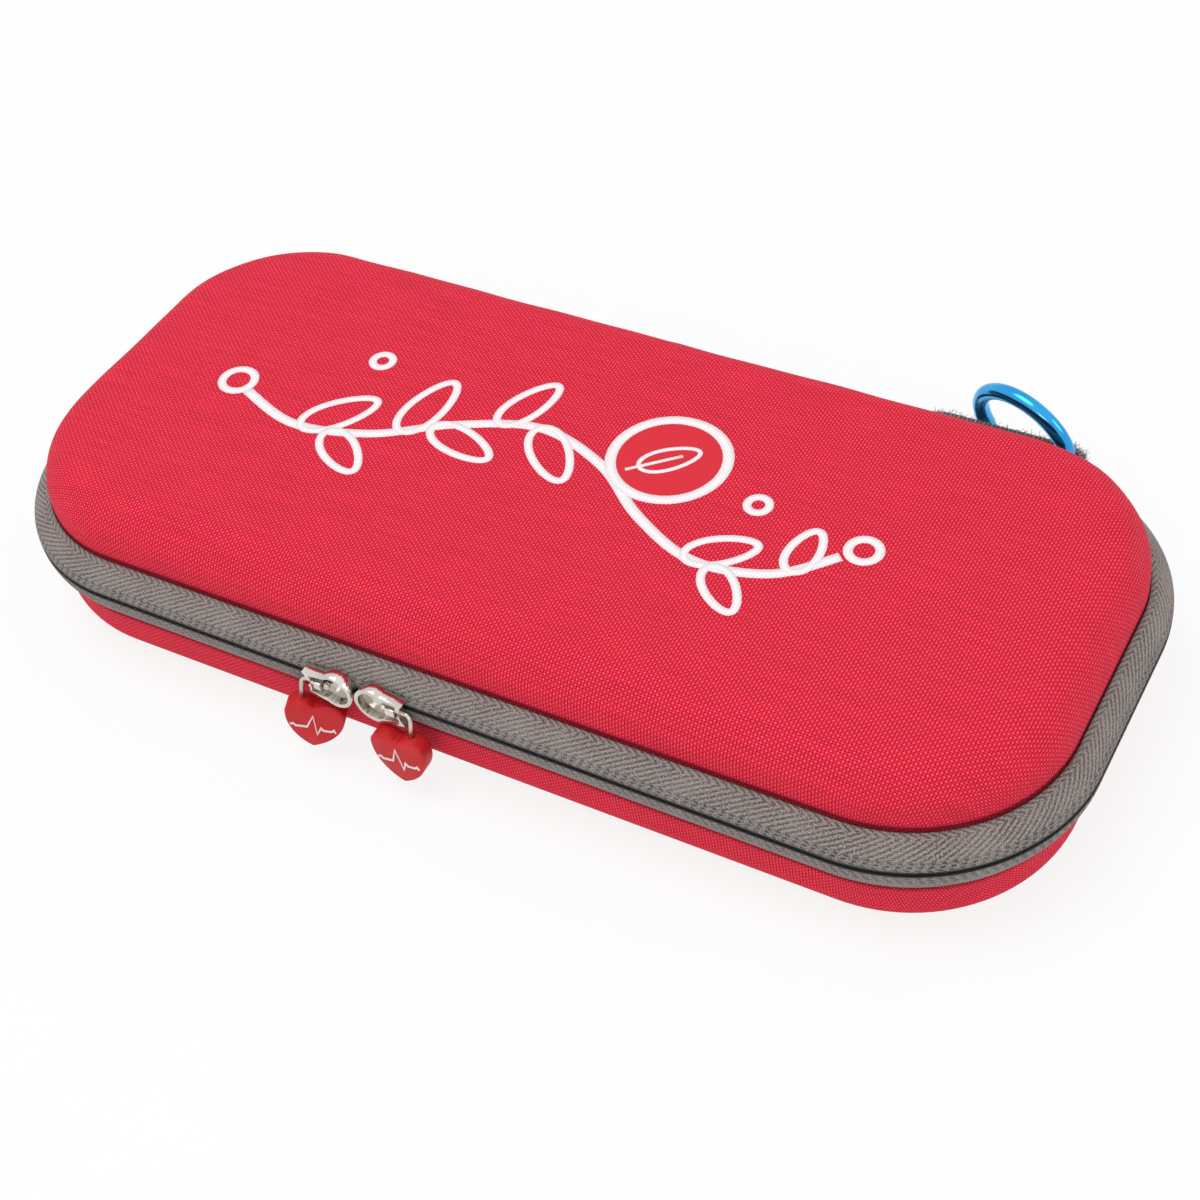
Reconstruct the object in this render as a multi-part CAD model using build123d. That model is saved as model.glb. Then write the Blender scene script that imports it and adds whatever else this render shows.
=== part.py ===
from build123d import *
import math
import os

# A hard zip case for a stethoscope: two moulded foam shells under woven cover cloth, a coil zip
# round three sides with two sliders, a cloth hinge at the back, and a snap hook on a webbing loop.
# Millimetres. The case stands on z = 0, its front looks along -Y and its long side lies along X.
# A section is drawn as (inset, height): inset counts inwards from the case's outermost line, and
# height counts up from the zip plane.

# ---- the closed case
case_length = 280.0
case_width = 129.2
corner_radius = 44.0
zip_height = 25.2
lid_rise = 22.0
plate_inset = 36.0

# ---- walls, from the outside in
cover_thickness = 0.8
core_thickness = 3.5
lining_thickness = 0.7
rim_gap = 0.8
binding_thickness = 0.5
binding_reach = 6.0

# ---- lid outline
lid_foot_inset = 5.3
lid_wall_lean = 1.3
lid_crown = 0.8
lid_crown_inset = 24.0
lid_edge_radius = 11.0
lid_crown_radius = 100.0
lid_crease_height = 6.9

# ---- base outline, with the rebate that the zip sits in
base_foot_inset = 6.0
rebate_depth = 4.9
rebate_slope_height = 3.3
base_wall_inset = 3.3
base_wall_lean = 1.6
base_edge_radius = 9.8
rebate_edge_radius = 1.0
base_crease_drop = 8.4

# ---- zip
tape_thickness = 0.8
zip_gap = 0.9
seam_leg = 2.2
coil_inset = 3.3
coil_height = 2.2
coil_gap = 1.0
tape_to_slider = 0.3
hinge_strip_length = 123.0
zip_start_gap = 0.5
stop_length = 1.8

# ---- sliders, drawn with the nose towards +X and the zip line through the origin
slider_length = 13.2
slider_tail_width = 6.6
slider_shoulder_x = -0.9
slider_shoulder_width = 8.4
slider_notch = 1.2
wing_thickness = 2.7
wing_floor = 0.6
wing_rim = 1.0
post_length = 2.4
post_thickness = 0.6
post_nose_wall = 0.7
inner_wing_inset = 3.6
inner_wing_thickness = 1.0
inner_wing_half_height = 4.2
lip_height = 0.9
lip_reach = 1.4
parked_middle = -20.1
parked_gap = 0.9
left_slider_travel = 54.0
right_slider_travel = 102.0

# ---- the lug on a slider and the wire pull through it
wire_diameter = 1.1
wire_play = 0.15
wire_head_diameter = 1.9
wire_head_play = 0.05
lug_length = 2.4
lug_from_tail = 2.3
lug_wall = 0.5
lug_roof = 0.7
wire_bend = 1.6
wire_past_tail = 1.4
wire_in_heart = 3.4
wire_splay = 16.0
heart_drop = 5.5

# ---- heart pulls
heart_width = 14.4
heart_height = 15.0
heart_thickness = 4.4
heart_lobe_radius = 3.8
heart_corner_radius = 1.2
heart_edge = 0.5
left_heart_roll = 12.0
right_heart_roll = 2.0
left_heart_yaw = 21.0
right_heart_yaw = 2.0

# ---- webbing loop at the back
webbing_thickness = 1.3
webbing_bottom = 14.0
webbing_top = 23.6
loop_from_end = 43.0
loop_span = 31.0
loop_stand = 13.3
loop_clear = 0.2
loop_foot_from_left = 2.0
loop_foot_from_right = 4.0
loop_foot_rise = 0.9
loop_foot_drop = 7.4
loop_foot_overlap = 6.0

# ---- snap hook, a pear of round rod standing in a plane of its own
rod_diameter = 4.2
wide_radius = 13.4
narrow_radius = 7.4
pear_spacing = 15.2
hook_from_loop_end = 11.0
hook_centre_stand = 12.85
hook_centre_height = 24.5
hook_turn = 18.0
hook_lean = 15.0
gate_diameter = 3.6
gate_gap = 0.3
gate_root_gap = 0.8
gate_foot = 3.4
gate_tongue = 1.6
tongue_play = 0.15
gate_pin_diameter = 1.2
gate_pin_play = 0.05

# ---- inside
pocket_thickness = 0.6
pocket_height = 3.2
pocket_front_inset = 46.0
pocket_elastic_width = 8.0
pocket_elastic_thickness = 1.4
strap_width = 20.0
strap_thickness = 1.2
strap_place = 62.0
strap_end_length = 3.0

# ---- worked out from the above
half_length = case_length / 2
half_width = case_width / 2
corner_x = half_length - corner_radius
corner_y = half_width - corner_radius
half_gap = zip_gap / 2
wall_thickness = cover_thickness + core_thickness + lining_thickness
shell_foot = rim_gap / 2 + binding_thickness
slider_half = slider_length / 2
hinge_axis_y = half_width
wire_radius = wire_diameter / 2
tunnel_reach = wire_radius + wire_play
wing_floor_inset = -tape_to_slider - wing_floor
wire_inset = wing_floor_inset - wire_head_diameter / 2 - wire_head_play
lug_top_inset = wire_inset - tunnel_reach - lug_roof
lug_half = tunnel_reach + lug_wall
left_slider_x = parked_middle - parked_gap / 2 - slider_half
right_slider_x = parked_middle + parked_gap / 2 + slider_half
loop_right = half_length - loop_from_end
loop_left = loop_right - loop_span
loop_foot_left = loop_left + loop_foot_from_left
loop_foot_right = loop_right - loop_foot_from_right
hook_centre_x = loop_right - hook_from_loop_end


def polygon(*corners):
    return make_face(Polyline(*corners, close=True))


def parallel(corners, depth):
    """The corners of a bent line moved to its right by depth, each leg parallel to the old one."""
    legs = [Vector(*b) - Vector(*a) for a, b in zip(corners, corners[1:])]
    sides = [Vector(leg.Y, -leg.X).normalized() * depth for leg in legs]
    moved = [Vector(*corners[0]) + sides[0]]
    for corner, before, after in zip(corners[1:-1], sides, sides[1:]):
        share = (before + after) * (depth ** 2 / (depth ** 2 + before.dot(after))) if depth else before
        moved.append(Vector(*corner) + share)
    moved.append(Vector(*corners[-1]) + sides[-1])
    return [(point.X, point.Y) for point in moved]


def turn_signs(corners):
    """Plus one where the line turns right, minus one where it turns left."""
    signs = []
    for a, b, c in zip(corners, corners[1:], corners[2:]):
        cross = (b[0] - a[0]) * (c[1] - b[1]) - (b[1] - a[1]) * (c[0] - b[0])
        signs.append(-1 if cross > 0 else 1)
    return signs


def skin_line(outline, radii, depth, side):
    """A wall line at a depth under its outer face, with its bends on the outer face's centres."""
    corners = parallel(outline, depth * side)
    signs = turn_signs(outline)
    bends = [radius - depth * side * sign for radius, sign in zip(radii, signs)]
    foot, after = corners[0], corners[1]
    slope = (after[0] - foot[0]) / (after[1] - foot[1])
    corners[0] = (foot[0] + slope * (outline[0][1] - foot[1]), outline[0][1])
    corners[-1] = (outline[-1][0], corners[-1][1])
    return FilletPolyline(*corners, radius=bends)


def layer(outline, radii, outer_depth, inner_depth, side):
    """The section of one layer of a wall, between two depths under the outer face."""
    outer = skin_line(outline, radii, outer_depth, side)
    inner = skin_line(outline, radii, inner_depth, side)
    edges = [outer, Line(outer @ 1, inner @ 1), inner, Line(inner @ 0, outer @ 0)]
    return make_face(edges)


lid_outline = [
    (lid_foot_inset, shell_foot),
    (lid_foot_inset + lid_wall_lean, lid_rise - lid_crown),
    (lid_crown_inset, lid_rise),
    (plate_inset, lid_rise),
]
lid_radii = [lid_edge_radius, lid_crown_radius]
base_outline = [
    (base_foot_inset, -shell_foot),
    (base_foot_inset, -rebate_depth),
    (base_wall_inset, -rebate_depth - rebate_slope_height),
    (base_wall_inset + base_wall_lean, -zip_height),
    (plate_inset, -zip_height),
]
base_radii = [rebate_edge_radius, rebate_edge_radius + wall_thickness, base_edge_radius]


def run_plane(x, y, heading):
    """The drawing plane of a section at a point of the outermost line, for a run along heading."""
    inwards = Vector(-heading.Y, heading.X)
    return Plane(origin=(x, y, zip_height), x_dir=inwards, z_dir=heading)


def straight(section, x, y, heading, length):
    return extrude(run_plane(x, y, heading) * section, amount=length, dir=heading)


def corner(section, x, y, heading):
    """A section turned through a quarter round a corner of the case that starts at (x, y)."""
    inwards = Vector(-heading.Y, heading.X)
    centre = Vector(x, y) + inwards * corner_radius
    return revolve(run_plane(x, y, heading) * section, axis=Axis(centre, (0, 0, 1)), revolution_arc=90)


def carried_round(section, back_gap=0.0):
    """A section carried round the case, open over a gap in the middle of the back."""
    east, north, west, south = Vector(1, 0), Vector(0, 1), Vector(-1, 0), Vector(0, -1)
    parts = [
        straight(section, -corner_x, -half_width, east, 2 * corner_x),
        corner(section, corner_x, -half_width, east),
        straight(section, half_length, -corner_y, north, 2 * corner_y),
        corner(section, half_length, corner_y, north),
        corner(section, -corner_x, half_width, west),
        straight(section, -half_length, corner_y, south, 2 * corner_y),
        corner(section, -half_length, -corner_y, south),
    ]
    if back_gap:
        length = corner_x - back_gap / 2
        parts.append(straight(section, corner_x, half_width, west, length))
        parts.append(straight(section, -back_gap / 2, half_width, west, length))
    else:
        parts.append(straight(section, corner_x, half_width, west, 2 * corner_x))
    whole = parts[0]
    for part in parts[1:]:
        whole += part
    return whole


def plate(low, high):
    """The flat middle of a shell, between two heights from the zip plane."""
    outline = RectangleRounded(case_length - 2 * plate_inset, case_width - 2 * plate_inset,
                               corner_radius - plate_inset)
    return Pos(0, 0, zip_height + low) * extrude(outline, amount=high - low)


def lid_layer(outer_depth, inner_depth):
    ring = carried_round(layer(lid_outline, lid_radii, outer_depth, inner_depth, 1))
    return ring + plate(lid_rise - inner_depth, lid_rise - outer_depth)


def base_layer(outer_depth, inner_depth):
    ring = carried_round(layer(base_outline, base_radii, outer_depth, inner_depth, -1))
    return ring + plate(outer_depth - zip_height, inner_depth - zip_height)


def wall_slope(outline):
    """How far a wall leans inwards for each millimetre away from the zip plane, at its foot."""
    (foot, low), (head, high) = outline[:2]
    return (head - foot) / abs(high - low)


def inner_inset(outline, height):
    """The inset of a wall's inner face near its foot, at a height from the zip plane."""
    slope = wall_slope(outline)
    return outline[0][0] + wall_thickness * math.hypot(1, slope) + slope * (height - shell_foot)


def edge_binding(outline, side):
    """A folded strip over a shell's raw edge: across the edge and up the inner face."""
    outer, foot, top = outline[0][0], inner_inset(outline, shell_foot), inner_inset(outline, binding_reach)
    section = polygon(
        (outer, side * rim_gap / 2),
        (foot + binding_thickness, side * rim_gap / 2),
        (top + binding_thickness, side * binding_reach),
        (top, side * binding_reach),
        (foot, side * shell_foot),
        (outer, side * shell_foot),
    )
    return carried_round(section)


def roll_radius(crease_inset, crease_height):
    rise = crease_height - half_gap
    return (crease_inset ** 2 + rise ** 2) / (2 * crease_inset)


def roll_band(crease_inset, crease_height, side, inner, outer):
    """A band that rolls from the zip line to a crease, between two depths under the tape's face."""
    radius = roll_radius(crease_inset, crease_height)
    swing = math.degrees(math.atan2(crease_height - half_gap, radius - crease_inset))
    centre = (radius, side * half_gap)
    face = CenterArc(centre, radius - outer, 180, -side * swing)
    back = CenterArc(centre, radius - inner, 180, -side * swing)
    return make_face([face, Line(face @ 1, back @ 1), back, Line(back @ 0, face @ 0)])


def lid_crease_inset():
    return lid_foot_inset + wall_slope(lid_outline) * (lid_crease_height - shell_foot)


def base_crease_inset():
    fall = base_crease_drop - rebate_depth - rebate_slope_height
    height = zip_height - rebate_depth - rebate_slope_height
    return base_wall_inset + base_wall_lean * fall / height


def upper_tape_section():
    """The lid's zip tape: a roll outside the wall, turned under and sewn down along the wall."""
    roll = roll_band(lid_crease_inset(), lid_crease_height, 1, tape_thickness, 0)
    head = lid_crease_height - tape_thickness / 2
    leg = polygon(
        (lid_foot_inset - tape_thickness, lid_crease_height - seam_leg),
        (lid_foot_inset + cover_thickness, lid_crease_height - seam_leg),
        (lid_foot_inset + cover_thickness, head),
        (lid_foot_inset - tape_thickness, head),
    )
    return roll + leg - layer(lid_outline, lid_radii, 0, cover_thickness, 1)


def lower_tape_section():
    """The base's zip tape, sewn down in the slope of the rebate."""
    roll = roll_band(base_crease_inset(), base_crease_drop, -1, tape_thickness, 0)
    slope = Vector(base_foot_inset - base_wall_inset, rebate_slope_height).normalized()
    out = Vector(-slope.Y, slope.X) * tape_thickness
    low = Vector(base_wall_inset, -rebate_depth - rebate_slope_height)
    high = low + slope * seam_leg
    leg = polygon(*[(p.X, p.Y) for p in (low - out, high - out, high + out, low + out)])
    return roll + leg - layer(base_outline, base_radii, 0, cover_thickness, -1)


def coil_section(crease_inset, crease_height, side):
    """The coil's bead on the tape's inner face, rounded where the two coils would mesh."""
    radius = roll_radius(crease_inset, crease_height) - tape_thickness
    near, far = side * coil_gap / 2, side * (coil_gap / 2 + coil_height)
    block = polygon((0, near), (coil_inset, near), (coil_inset, far), (0, far))
    tape = Pos(radius + tape_thickness, side * half_gap) * Circle(radius)
    bead = block & tape
    ends = bead.vertices().sort_by(Axis.X)[-2:]
    return fillet(ends, coil_height * 0.4)


def end_stops(section):
    """Two clips that close the coil's ends, beside the cloth hinge."""
    start = hinge_strip_length / 2 + zip_start_gap
    west = Vector(-1, 0)
    right = straight(section, start + stop_length, half_width, west, stop_length)
    left = straight(section, -start, half_width, west, stop_length)
    return right + left


def hinge_strip():
    """Cloth across the back: both tapes' rolls in one piece, with nothing cut at the zip line."""
    bridge = polygon((0, -half_gap), (tape_thickness, -half_gap), (tape_thickness, half_gap), (0, half_gap))
    section = upper_tape_section() + bridge + lower_tape_section()
    return straight(section, hinge_strip_length / 2, half_width, Vector(-1, 0), hinge_strip_length)


def slider_plane(inset):
    """The drawing plane of a slider at an inset: x along the zip, y up, facing outwards."""
    return Plane(origin=(0, -half_width + inset, zip_height), x_dir=(1, 0, 0), z_dir=(0, -1, 0))


def wing_outline(half_height=slider_length):
    """A slider's wing: a notched tail, straight flanks that widen, and a round nose."""
    tail, shoulder = slider_tail_width / 2, slider_shoulder_width / 2
    edges = [
        Line((-slider_half, tail), (slider_shoulder_x, shoulder)),
        ThreePointArc((slider_shoulder_x, shoulder), (slider_half, 0), (slider_shoulder_x, -shoulder)),
        Line((slider_shoulder_x, -shoulder), (-slider_half, -tail)),
        ThreePointArc((-slider_half, -tail), (-slider_half + slider_notch, 0), (-slider_half, tail)),
    ]
    return make_face(edges) & Rectangle(2 * slider_length, 2 * half_height)


def slider_block(x_low, x_high, z_low, z_high, inset_out, inset_in):
    outline = Pos((x_low + x_high) / 2, (z_low + z_high) / 2) * Rectangle(x_high - x_low, z_high - z_low)
    return extrude(slider_plane(inset_in) * outline, amount=inset_in - inset_out)


def slider():
    """A cast slider with its nose towards +X: bowl, lug, post and inner wing with one flange."""
    bowl_depth = wing_thickness - wing_floor
    wing = extrude(slider_plane(-tape_to_slider) * wing_outline(), amount=wing_thickness)
    hollow = offset(wing_outline(), amount=-wing_rim, kind=Kind.ARC)
    wing -= extrude(slider_plane(wing_floor_inset) * hollow, amount=bowl_depth)
    lug_tail = -slider_half + lug_from_tail
    lug = slider_block(lug_tail, lug_tail + lug_length, -lug_half, lug_half, lug_top_inset, wing_floor_inset)
    lug = fillet(lug.edges().filter_by(Axis.X).group_by(Axis.Y)[0], lug_wall * 0.9)
    tunnel = slider_block(lug_tail - 1, lug_tail + lug_length + 1, -tunnel_reach, tunnel_reach,
                          wire_inset - tunnel_reach, wing_floor_inset)
    wing -= slider_block(-slider_length, lug_tail, -tunnel_reach, tunnel_reach,
                         -tape_to_slider - wing_thickness, wing_floor_inset)
    post_end = slider_half - post_nose_wall
    post = slider_block(post_end - post_length, post_end, -post_thickness / 2, post_thickness / 2,
                        -tape_to_slider, inner_wing_inset)
    inner = extrude(slider_plane(inner_wing_inset + inner_wing_thickness)
                    * wing_outline(inner_wing_half_height), amount=inner_wing_thickness)
    flange_outline = wing_outline(inner_wing_half_height) - Pos(0, lip_height) * Rectangle(
        2 * slider_length, 2 * inner_wing_half_height)
    flange = extrude(slider_plane(inner_wing_inset) * flange_outline, amount=lip_reach)
    return wing + (lug - tunnel) + post + inner + flange


def wire_frame():
    """The pull wire's own frame at its axis in the lug: x along the zip, y down along the leg."""
    splay = math.radians(wire_splay)
    down = Vector(0, -math.sin(splay), -math.cos(splay))
    origin = (0, -half_width + wire_inset, zip_height)
    return Plane(origin=origin, x_dir=(1, 0, 0), z_dir=Vector(1, 0, 0).cross(down))


def heart_hang():
    """Where the wire's leg meets the top of the heart: along the zip, across and height."""
    lean = heart_drop * math.tan(math.radians(wire_splay))
    return -slider_half - wire_past_tail, -half_width + wire_inset - lean, zip_height - heart_drop


def pull_wire():
    """A wire with an upset head, straight through the lug and bent down past the tail to the heart."""
    leg_x = -slider_half - wire_past_tail
    head_x = -slider_half + lug_from_tail + lug_length + wire_play + wire_head_diameter / 2
    foot = heart_drop / math.cos(math.radians(wire_splay)) + wire_in_heart
    through = Line((head_x, 0), (leg_x + wire_bend, 0))
    bend = TangentArc((leg_x + wire_bend, 0), (leg_x, wire_bend), tangent=(-1, 0))
    leg = Line((leg_x, wire_bend), (leg_x, foot))
    path = Wire([through, bend, leg])
    wire = sweep(Plane(origin=(head_x, 0, 0), z_dir=(-1, 0, 0)) * Circle(wire_radius), path=path)
    wire += Pos(head_x, 0, 0) * Sphere(wire_head_diameter / 2)
    return wire_frame() * wire


def heart_outline():
    """Two round lobes and two full sides that meet in a blunt point, the lobes' tops at y = 0."""
    half = heart_width / 2
    lobe_x = half - heart_lobe_radius
    cleft = math.sqrt(heart_lobe_radius ** 2 - lobe_x ** 2)
    drop = heart_height - heart_lobe_radius
    side_radius = (half ** 2 + drop ** 2) / heart_width
    lobe_swing = math.degrees(math.atan2(cleft, -lobe_x))
    side_swing = math.degrees(math.atan2(drop, side_radius - half))
    lobe = CenterArc((lobe_x, 0), heart_lobe_radius, 0, lobe_swing)
    side = CenterArc((half - side_radius, 0), side_radius, 0, -side_swing)
    edges = [lobe, side]
    edges += [mirror(edge, about=Plane.YZ) for edge in (lobe, side)]
    face = make_face(edges)
    middle = face.vertices().sort_by(Axis.Y)
    on_axis = [corner for corner in middle if abs(corner.X) < 0.01]
    face = fillet(on_axis, heart_corner_radius)
    return Pos(0, -heart_lobe_radius) * face


def heart(yaw, roll, wire):
    """A soft pull moulded on the wire's leg, hung by the middle of its tail-side lobe."""
    lobe_x = heart_width / 2 - heart_lobe_radius
    solid = extrude(Plane.XZ * heart_outline(), amount=heart_thickness / 2, both=True)
    rims = solid.faces().sort_by(Axis.Y)
    solid = chamfer(rims[0].edges() + rims[-1].edges(), heart_edge)
    hung = Rot(0, roll, 0) * Pos(lobe_x, 0, 0) * solid
    return Pos(*heart_hang()) * Rot(0, 0, yaw) * hung - wire


def at_slider(solid, x, facing_left):
    if facing_left:
        solid = mirror(solid, about=Plane.YZ)
    return Pos(x, 0, 0) * solid


def hang_loop():
    """A webbing loop: a foot sewn on the lower tape, two round turns and a straight outer run."""
    height = webbing_top - webbing_bottom
    lean = math.tan(math.radians(hook_lean))
    near = half_width + loop_clear
    far = half_width + loop_stand
    rise = Vector(0, -lean, 1).normalized()
    outer = SlotCenterToCenter(loop_right - loop_left, far - near)
    middle = Pos((loop_left + loop_right) / 2, (near + far) / 2)
    band = outer - offset(outer, amount=-webbing_thickness)
    open_length = loop_foot_right - loop_foot_left - 2 * loop_foot_overlap
    band -= Pos(0, -(far - near) / 2) * Rectangle(open_length, 3 * webbing_thickness)
    foot_place = Pos(0, lean * (zip_height - webbing_bottom), webbing_bottom)
    run = foot_place * extrude(middle * band, amount=height * math.hypot(1, lean), dir=rise)
    foot_band = roll_band(base_crease_inset(), base_crease_drop, -1, 0, -webbing_thickness)
    window = Pos(0, -(loop_foot_rise + loop_foot_drop) / 2) * Rectangle(
        4 * webbing_thickness + 2 * base_foot_inset, loop_foot_drop - loop_foot_rise)
    foot = straight(foot_band & window, loop_foot_right, half_width, Vector(-1, 0),
                    loop_foot_right - loop_foot_left)
    return run + foot


def pear_points():
    """The straight flank of the pear on +X: where it leaves the wide and the narrow arc."""
    sine = (wide_radius - narrow_radius) / pear_spacing
    cosine = math.sqrt(1 - sine ** 2)
    high = (wide_radius * cosine, -wide_radius * sine)
    low = (narrow_radius * cosine, -pear_spacing - narrow_radius * sine)
    return high, low


def hook_frame():
    """The snap hook's own frame at its wide arc's centre: x across, y up the hook, z forwards."""
    centre = (hook_centre_x, half_width + hook_centre_stand, hook_centre_height)
    return Location(centre) * Rot(0, 0, -hook_turn) * Rot(90 + hook_lean, 0, 0)


def flank_frame():
    """A frame on the gate's flank: origin at its foot, y up along the flank, x into the pear."""
    high, low = pear_points()
    high, low = Vector(-high[0], high[1]), Vector(-low[0], low[1])
    along = (high - low).normalized()
    return Location(Plane(origin=low, x_dir=(along.Y, -along.X), z_dir=(0, 0, 1))), (high - low).length


def hook_rod():
    """The pear of rod, open along the gate's flank, with a forked foot for the gate."""
    high, low = pear_points()
    slope = math.degrees(math.atan2(-high[1], high[0]))
    top = CenterArc((0, 0), wide_radius, -slope, 180 + 2 * slope)
    flank = Line(high, low)
    foot = CenterArc((0, -pear_spacing), narrow_radius, -slope, -180 + 2 * slope)
    path = Wire([top, flank, foot])
    return sweep(Plane(origin=path @ 0, z_dir=path % 0) * Circle(rod_diameter / 2), path=path)


def snap_hook():
    frame, _ = flank_frame()
    foot = frame * extrude(Plane.XZ * Circle(rod_diameter / 2), amount=-gate_foot)
    slot = frame * Pos(0, gate_foot, 0) * Box(2 * rod_diameter, 2 * gate_foot,
                                                gate_tongue + 2 * tongue_play)
    pin = frame * Pos(0, gate_foot / 2, 0) * Cylinder(gate_pin_diameter / 2, 2 * rod_diameter)
    return hook_rod() + (foot - slot - pin)


def gate():
    frame, length = flank_frame()
    start = gate_foot + gate_root_gap
    body = extrude(Plane.XZ.offset(-start) * Circle(gate_diameter / 2), amount=-(length - start - gate_gap))
    tongue_foot = gate_foot / 2
    tongue = Pos(0, (tongue_foot + start) / 2, 0) * Box(gate_diameter * 0.8, start - tongue_foot, gate_tongue)
    tongue += Pos(0, tongue_foot, 0) * Cylinder(gate_diameter * 0.4, gate_tongue)
    eye = Pos(0, tongue_foot, 0) * Cylinder(gate_pin_diameter / 2 + gate_pin_play, 2 * rod_diameter)
    return frame * (body + tongue - eye)


def gate_pin():
    frame, _ = flank_frame()
    return frame * Pos(0, gate_foot / 2, 0) * Cylinder(gate_pin_diameter / 2, rod_diameter)


def pocket_inset():
    return inner_inset(lid_outline, pocket_height + pocket_elastic_thickness) + binding_thickness


def mesh_pocket():
    """A net sheet across the back of the lid, from the binding's inner face to an elastic hem."""
    inset = pocket_inset()
    length, width = case_length - 2 * inset, case_width - 2 * inset
    sheet = extrude(RectangleRounded(length, width, corner_radius - inset), amount=pocket_thickness)
    hem = -half_width + pocket_front_inset + pocket_elastic_width
    cut = Pos(0, hem - case_width / 2, 0) * Box(2 * case_length, case_width, case_width)
    return Pos(0, 0, zip_height + pocket_height) * (sheet - cut)


def pocket_elastic():
    """The pocket's elastic hem, straight across the lid along the net's front edge."""
    length = case_length - 2 * pocket_inset()
    middle = -half_width + pocket_front_inset + pocket_elastic_width / 2
    height = zip_height + pocket_height + pocket_thickness / 2
    return Pos(0, middle, height) * Box(length, pocket_elastic_width, pocket_elastic_thickness)


def elastic_strap(x):
    """A flat elastic across the base's floor, its ends run on past the plate to be sewn down."""
    reach = half_width - plate_inset + strap_end_length
    return Pos(x, 0, wall_thickness + strap_thickness / 2) * Box(strap_width, 2 * reach, strap_thickness)


def build():
    wire = pull_wire()
    left_heart = heart(left_heart_yaw, left_heart_roll, wire)
    right_heart = heart(-right_heart_yaw, right_heart_roll, wire)
    cast = slider()
    lid_coil = coil_section(lid_crease_inset(), lid_crease_height, 1)
    base_coil = coil_section(base_crease_inset(), base_crease_drop, -1)
    zip_opening = hinge_strip_length + 2 * zip_start_gap
    cores = cover_thickness, cover_thickness + core_thickness
    linings = cores[1], wall_thickness
    hook = hook_frame()
    nodes = {
        "base_cover": base_layer(0, cover_thickness),
        "base_shell": base_layer(*cores),
        "base_lining": base_layer(*linings),
        "base_edge_binding": edge_binding(base_outline, -1),
        "lower_zip_tape": carried_round(lower_tape_section(), zip_opening),
        "lower_zip_coil": carried_round(base_coil, zip_opening + 2 * stop_length),
        "hinge_strip": hinge_strip(),
        "hang_loop": hang_loop(),
        "left_elastic_strap": elastic_strap(-strap_place),
        "right_elastic_strap": elastic_strap(strap_place),
        "lid_cover": lid_layer(0, cover_thickness),
        "lid_shell": lid_layer(*cores),
        "lid_lining": lid_layer(*linings),
        "lid_edge_binding": edge_binding(lid_outline, 1),
        "upper_zip_tape": carried_round(upper_tape_section(), zip_opening),
        "upper_zip_coil": carried_round(lid_coil, zip_opening + 2 * stop_length),
        "lower_zip_stops": end_stops(base_coil),
        "upper_zip_stops": end_stops(lid_coil),
        "mesh_pocket": mesh_pocket(),
        "pocket_elastic": pocket_elastic(),
        "left_slider": at_slider(cast, left_slider_x, False),
        "right_slider": at_slider(cast, right_slider_x, True),
        "left_pull_wire": at_slider(wire, left_slider_x, False),
        "right_pull_wire": at_slider(wire, right_slider_x, True),
        "left_heart_pull": at_slider(left_heart, left_slider_x, False),
        "right_heart_pull": at_slider(right_heart, right_slider_x, True),
        "snap_hook": hook * snap_hook(),
        "hook_gate": hook * gate(),
        "gate_pin": hook * gate_pin(),
    }
    return nodes


if __name__ == "__main__":
    os.makedirs("parts", exist_ok=True)
    for name, solid in build().items():
        export_step(solid, "parts/" + name + ".step")
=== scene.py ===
import math

import bmesh
import bpy
import numpy as np
from mathutils import Matrix, Vector


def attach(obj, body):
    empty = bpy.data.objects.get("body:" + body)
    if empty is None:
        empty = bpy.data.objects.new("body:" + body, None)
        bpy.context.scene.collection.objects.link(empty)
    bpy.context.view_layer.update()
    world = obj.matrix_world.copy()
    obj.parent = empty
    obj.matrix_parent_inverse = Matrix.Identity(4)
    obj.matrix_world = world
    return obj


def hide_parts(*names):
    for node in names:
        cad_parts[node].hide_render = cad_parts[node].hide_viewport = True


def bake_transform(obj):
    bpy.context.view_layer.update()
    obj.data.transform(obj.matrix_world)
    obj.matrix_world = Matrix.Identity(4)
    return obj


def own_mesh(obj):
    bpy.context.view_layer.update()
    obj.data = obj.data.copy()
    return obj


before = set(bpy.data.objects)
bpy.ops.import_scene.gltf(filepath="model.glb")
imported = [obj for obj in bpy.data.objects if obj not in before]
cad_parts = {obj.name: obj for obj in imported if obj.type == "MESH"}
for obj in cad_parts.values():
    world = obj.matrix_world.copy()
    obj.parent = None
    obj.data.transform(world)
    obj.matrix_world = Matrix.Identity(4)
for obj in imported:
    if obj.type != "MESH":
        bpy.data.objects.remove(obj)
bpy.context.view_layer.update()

# Shapes below are worked out in millimetres, in the frame of the CAD part.
mm = 0.001

case = {"halfLength": 140.0, "halfWidth": 64.6, "radius": 44.0, "zip": 25.2, "rise": 22.0}
wall = {"cover": 0.8, "core": 3.5, "lining": 0.7}
lidLine = {"corners": [(5.3, 0.9), (6.6, 21.2), (24.0, 22.0), (36.0, 22.0)], "radii": [11.0, 100.0], "side": 1}
baseLine = {
    "corners": [(6.0, -0.9), (6.0, -4.9), (3.3, -8.2), (4.9, -25.2), (36.0, -25.2)],
    "radii": [1.0, 6.0, 9.8],
    "side": -1,
}


# ---- materials

def hexLinear(code):
    channels = [int(code[k:k + 2], 16) / 255 for k in (1, 3, 5)]
    linear = [c / 12.92 if c <= 0.04045 else ((c + 0.055) / 1.055) ** 2.4 for c in channels]
    return (*linear, 1.0)


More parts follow.
